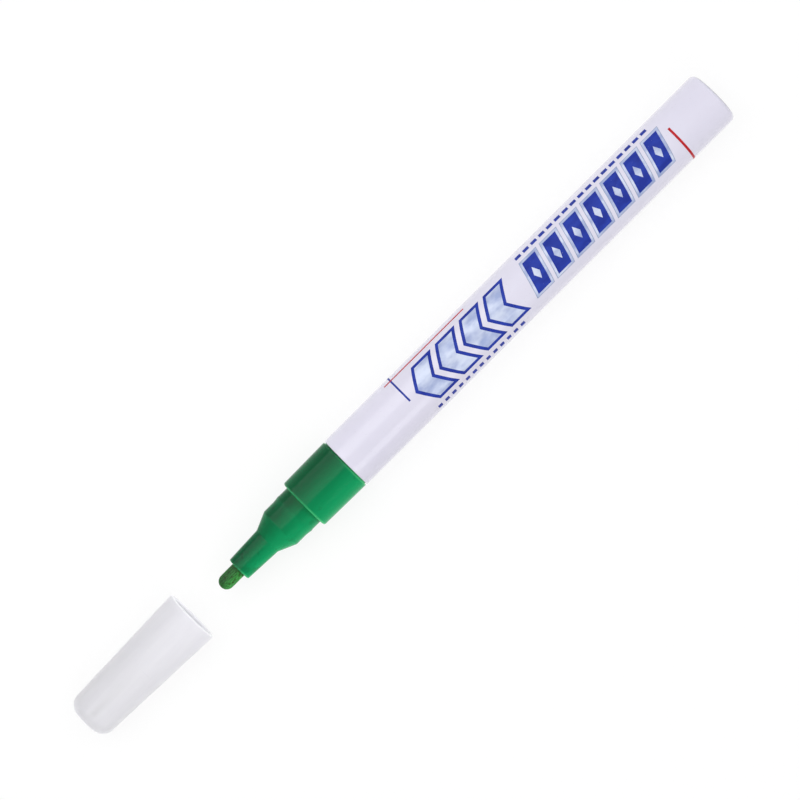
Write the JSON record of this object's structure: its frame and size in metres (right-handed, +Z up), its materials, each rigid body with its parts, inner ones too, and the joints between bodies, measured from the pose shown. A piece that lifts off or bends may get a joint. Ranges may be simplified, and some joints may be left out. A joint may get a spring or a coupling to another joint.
{
  "type": "paint marker",
  "caption": "Slim valve-action paint marker: lacquered metal barrel, stepped green nose with a round fibre nib, and a tapered white push-on cap pulled off along its axis.",
  "frame": {"origin": "under the middle of the whole length, pulled-off cap included, on the table the marker lies on", "axes": "+X along the marker from its closed rear end to its tip and cap, +Z up from the table"},
  "size_m": [0.1614, 0.011, 0.011],
  "materials": {
    "barrel_lacquer": "gloss",
    "green_plastic": "satin",
    "nib_fibre": "matte",
    "natural_plastic": "satin",
    "stem_plastic": "satin",
    "seal_rubber": "matte",
    "spring_steel": "satin",
    "ball_steel": "polished",
    "cap_plastic": "satin",
    "seal_plastic": "satin"
  },
  "bodies": {
    "barrel_body": {"barrel": "barrel_lacquer", "front_holder": "green_plastic", "valve_body": "natural_plastic", "valve_gasket": "seal_rubber", "spring_retainer": "natural_plastic", "valve_spring": "spring_steel"},
    "nib_unit": {"nib": "nib_fibre", "valve_stem": "stem_plastic"},
    "cap": {"cap_shell": "cap_plastic", "inner_cap": "seal_plastic"},
    "ball": {"mixing_ball": "ball_steel"}
  },
  "joints": [
    {"name": "nib_press", "type": "slide", "parent": "barrel_body", "child": "nib_unit", "axis": [-1, 0, 0], "range_m": [0, 0.0012], "stiffness_N_per_m": 1000, "springref_m": -0.002, "deforming": ["valve_spring"]},
    {"name": "cap_slide", "type": "slide", "parent": "barrel_body", "child": "cap", "axis": [1, 0, 0], "range_m": [-0.0286, 0]},
    {"name": "mixing_ball_roll", "type": "slide", "parent": "barrel_body", "child": "ball", "axis": [1, 0, 0], "range_m": [-0.0208, 0.05308]}
  ]
}
